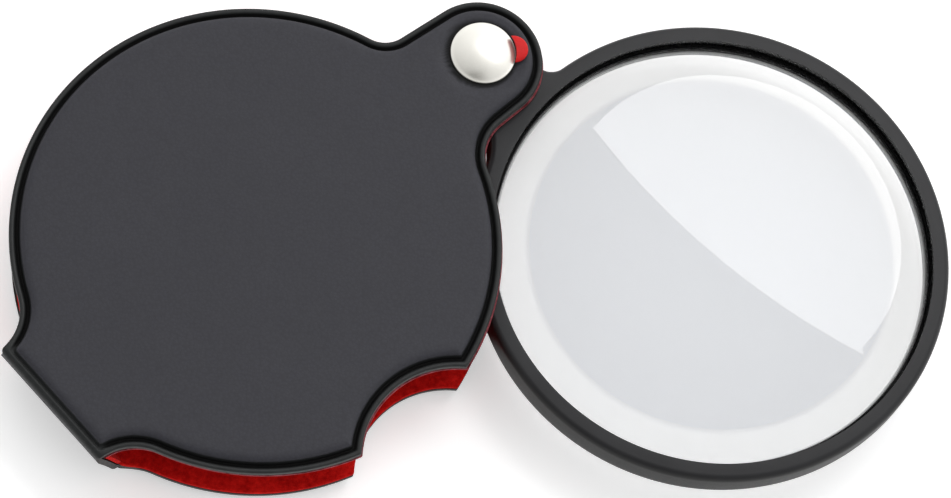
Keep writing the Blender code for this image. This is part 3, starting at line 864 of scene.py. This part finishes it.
def lathe(name, profile, centre, finish, steps=192, closed=True, sharp=35, mark=None):
    """Profile of (radius, height) in mm, turned about the upright axis through a centre."""
    bm = bmesh.new()
    layer = bm.verts.layers.float.new("zone")
    rings = []
    for radius, height in profile:
        if radius < 1e-6:
            verts = [bm.verts.new((centre[0], centre[1], centre[2] + height * mm))]
        else:
            turns = 2 * np.pi * np.arange(steps) / steps
            verts = [
                bm.verts.new((
                    centre[0] + radius * mm * np.cos(turn),
                    centre[1] + radius * mm * np.sin(turn),
                    centre[2] + height * mm,
                ))
                for turn in turns
            ]
        for vert in verts:
            vert[layer] = mark(radius) if mark else 0.0
        rings.append(verts)
    for a, b in zip(rings, rings[1:] + ([rings[0]] if closed else [])):
        for i in range(steps):
            j = (i + 1) % steps
            corners = [a[i % len(a)], a[j % len(a)], b[j % len(b)], b[i % len(b)]]
            corners = list(dict.fromkeys(corners))
            if len(corners) > 2:
                bm.faces.new(corners)
    bmesh.ops.recalc_face_normals(bm, faces=bm.faces)
    return new_piece(name, bm, finish, sharp=sharp)


retainer_profile = [
    (RETAINER_INNER, RETAINER_LOW), (RETAINER_OUTER, RETAINER_LOW), (RETAINER_OUTER, RETAINER_HIGH - 0.08),
    (RETAINER_OUTER - 0.08, RETAINER_HIGH), (RETAINER_INNER + 0.1, RETAINER_HIGH),
    (RETAINER_INNER, RETAINER_HIGH - 0.3),
]
retainer = lathe("retaining_ring", retainer_profile, lens_centre, bore_plastic)
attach(retainer, "lens_unit")
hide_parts("lens_retaining_ring")


# ---------------------------------------------------------------- Lens
# A double-convex glass lens, ground to a white frosted bevel at its edges. Its grey middle is taken
# to be a coating on the front, and its back is taken to be coated so that it doesn't mirror.
LENS_RADIUS = 29.9
LENS_EDGE_HALF = 0.6
LENS_CROWN = 2.35
TINT_RADIUS = 25.3
TINT_FADE = 0.4
BEVEL_INNER = 29.5
sphere = (30.0**2 + LENS_CROWN**2) / (2 * LENS_CROWN)


def dome(radius):
    return LENS_EDGE_HALF + LENS_CROWN - sphere + np.sqrt(sphere**2 - radius**2)


fade = [TINT_RADIUS - TINT_FADE, TINT_RADIUS + TINT_FADE]
radii = [*np.linspace(0, fade[0], 36), *np.linspace(fade[1], BEVEL_INNER, 6)]
front = [(r, dome(r)) for r in radii]
edge = [(LENS_RADIUS, LENS_EDGE_HALF - 0.12), (LENS_RADIUS, -LENS_EDGE_HALF + 0.12)]
rear = [(r, -dome(r)) for r in radii[::-1]]
glass = Finish("clear_glass", Transmission_Weight=1.0, IOR=1.52)
zone = glass.node("ShaderNodeAttribute", {"attribute_name": "zone"}, out="Fac")
smear = glass.clouds(7.0, 3.0)
# Tinted grey-blue inside the circle, so what is seen through the middle looks darker; clear outside it.
glass.set(Base_Color=glass.blend(zone, (0.995, 0.997, 0.995), (0.685, 0.70, 0.735)))
glass.set(Roughness=glass.ramp(smear, 0.55, 0.9) * 0.012)
coated_back = Finish("coated_glass_back", Transmission_Weight=1.0, IOR=1.52, Specular_Tint=(0.0, 0.0, 0.0))
smear = coated_back.clouds(7.0, 3.0)
coated_back.set(Base_Color=coated_back.blend(smear, (0.985, 0.99, 0.985), (0.998, 0.998, 0.998)))
coated_back.set(Roughness=coated_back.ramp(smear, 0.55, 0.9) * 0.01)
ground = Finish("ground_glass_bevel", Specular_IOR_Level=0.3)
grit = ground.clouds(0.2, 4.0)
ground.set(Base_Color=ground.blend(grit, (0.88, 0.90, 0.90), (0.99, 0.99, 0.99)), Roughness=0.7 + grit * 0.2)
lens = lathe(
    "glass_lens", [*front, *edge, *rear], lens_centre, glass, closed=False, sharp=10,
    mark=lambda radius: 1.0 if radius < TINT_RADIUS else 0.0,
)
for finish in (coated_back, ground):
    lens.data.materials.append(finish.material)
for face in lens.data.polygons:
    if (face.center - lens_centre).xy.length > BEVEL_INNER * mm:
        face.material_index = 2
    elif face.center.z < lens_centre.z:
        face.material_index = 1
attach(lens, "lens_unit")
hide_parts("lens")


# ---------------------------------------------------------------- Rivet
# Nickel-plated brass: a socket and a post that lock together through both leaves and the lug, each
# closed with a domed cap that is pressed out of thin sheet.
CAP_RADIUS = 4.45
CAP_HEIGHT = 1.3
CAP_WALL = 0.3
DOME_RADIUS = 9.6
ROLLED_EDGE = 0.22
nickel = Finish("nickel_plate", Metallic=1.0)
haze = nickel.clouds(2.5, 4.0)
scratches = nickel.clouds(0.3, 2.0)
nickel.set(Base_Color=nickel.blend(haze, (0.77, 0.755, 0.70), (0.84, 0.825, 0.77)))
nickel.set(Roughness=0.25 + haze * 0.08, Normal=nickel.bump(haze * 0.8 + scratches * 0.2, 0.03, 0.6))


def cap_profile():
    """Section of a domed cap with a rolled rim, open underneath, its rim's foot at height 0."""
    radii = [*np.linspace(0, CAP_RADIUS - ROLLED_EDGE, 14)]
    outer = [(r, CAP_HEIGHT - DOME_RADIUS + np.sqrt(DOME_RADIUS**2 - r**2)) for r in radii]
    shoulder = outer[-1][1]
    turns = np.radians((25, 45, 65, 90))
    outer += [
        (CAP_RADIUS - ROLLED_EDGE * (1 - np.sin(a)), shoulder - ROLLED_EDGE * 0.6 * (1 - np.cos(a)))
        for a in turns
    ]
    outer += [(CAP_RADIUS, 0.0)]
    inner = [(CAP_RADIUS - CAP_WALL, 0.0), (CAP_RADIUS - CAP_WALL, shoulder - 0.35)]
    inner += [(r, height - CAP_WALL) for r, height in outer[10::-2]]
    return outer + inner


for node, flip in (("rivet_front_cap", 1), ("rivet_rear_cap", -1)):
    low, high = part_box(node)
    foot = Vector((swivel.x, swivel.y, low.z if flip > 0 else high.z))
    profile = [(r, flip * h) for r, h in cap_profile()]
    cap = lathe(f"{node}_domed", profile, foot, nickel, steps=96, closed=False, sharp=50)
    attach(cap, "case")
    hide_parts(node)
for name in ("rivet_socket", "rivet_post"):
    bpy.data.objects[name].material_slots[0].material = nickel.material


# ---------------------------------------------------------------- Nub of lining
# A blob of red flock and glue, squeezed up through the punched hole and flattened beside the cap.
nub_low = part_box("lining_nub")[0]
NUB_REACH = 4.2
NUB_BEARING = 8.2
NUB_RADIUS = 1.95
NUB_HEIGHT = 0.42
nub_finish = Finish("red_nub", Specular_IOR_Level=0.25, Coat_Weight=0.05, Coat_Roughness=0.3)
lumps = nub_finish.clouds(0.8, 4.0)
nub_finish.set(Base_Color=nub_finish.blend(lumps, (0.48, 0.002, 0.002), (0.68, 0.008, 0.008)))
nub_finish.set(Roughness=0.5 + lumps * 0.2)
nub_finish.set(Normal=nub_finish.bump(lumps, 0.15, 0.7))
nub_centre = Vector((
    swivel.x + NUB_REACH * mm * np.cos(np.radians(NUB_BEARING)),
    swivel.y + NUB_REACH * mm * np.sin(np.radians(NUB_BEARING)),
    nub_low.z,
))
rounds = np.radians(np.linspace(0, 90, 12))
nub_profile = [(NUB_RADIUS * np.cos(a) ** 0.7, NUB_HEIGHT * np.sin(a)) for a in rounds]
nub_profile[-1] = (0.0, NUB_HEIGHT)
nub = lathe("squeezed_nub", [(0.0, 0.0), *nub_profile], nub_centre, nub_finish, steps=64, closed=False)
drill(nub, swivel, (CAP_RADIUS + 0.05) * mm, -0.01, 0.03, 96)
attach(nub, "case")
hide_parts("lining_nub")
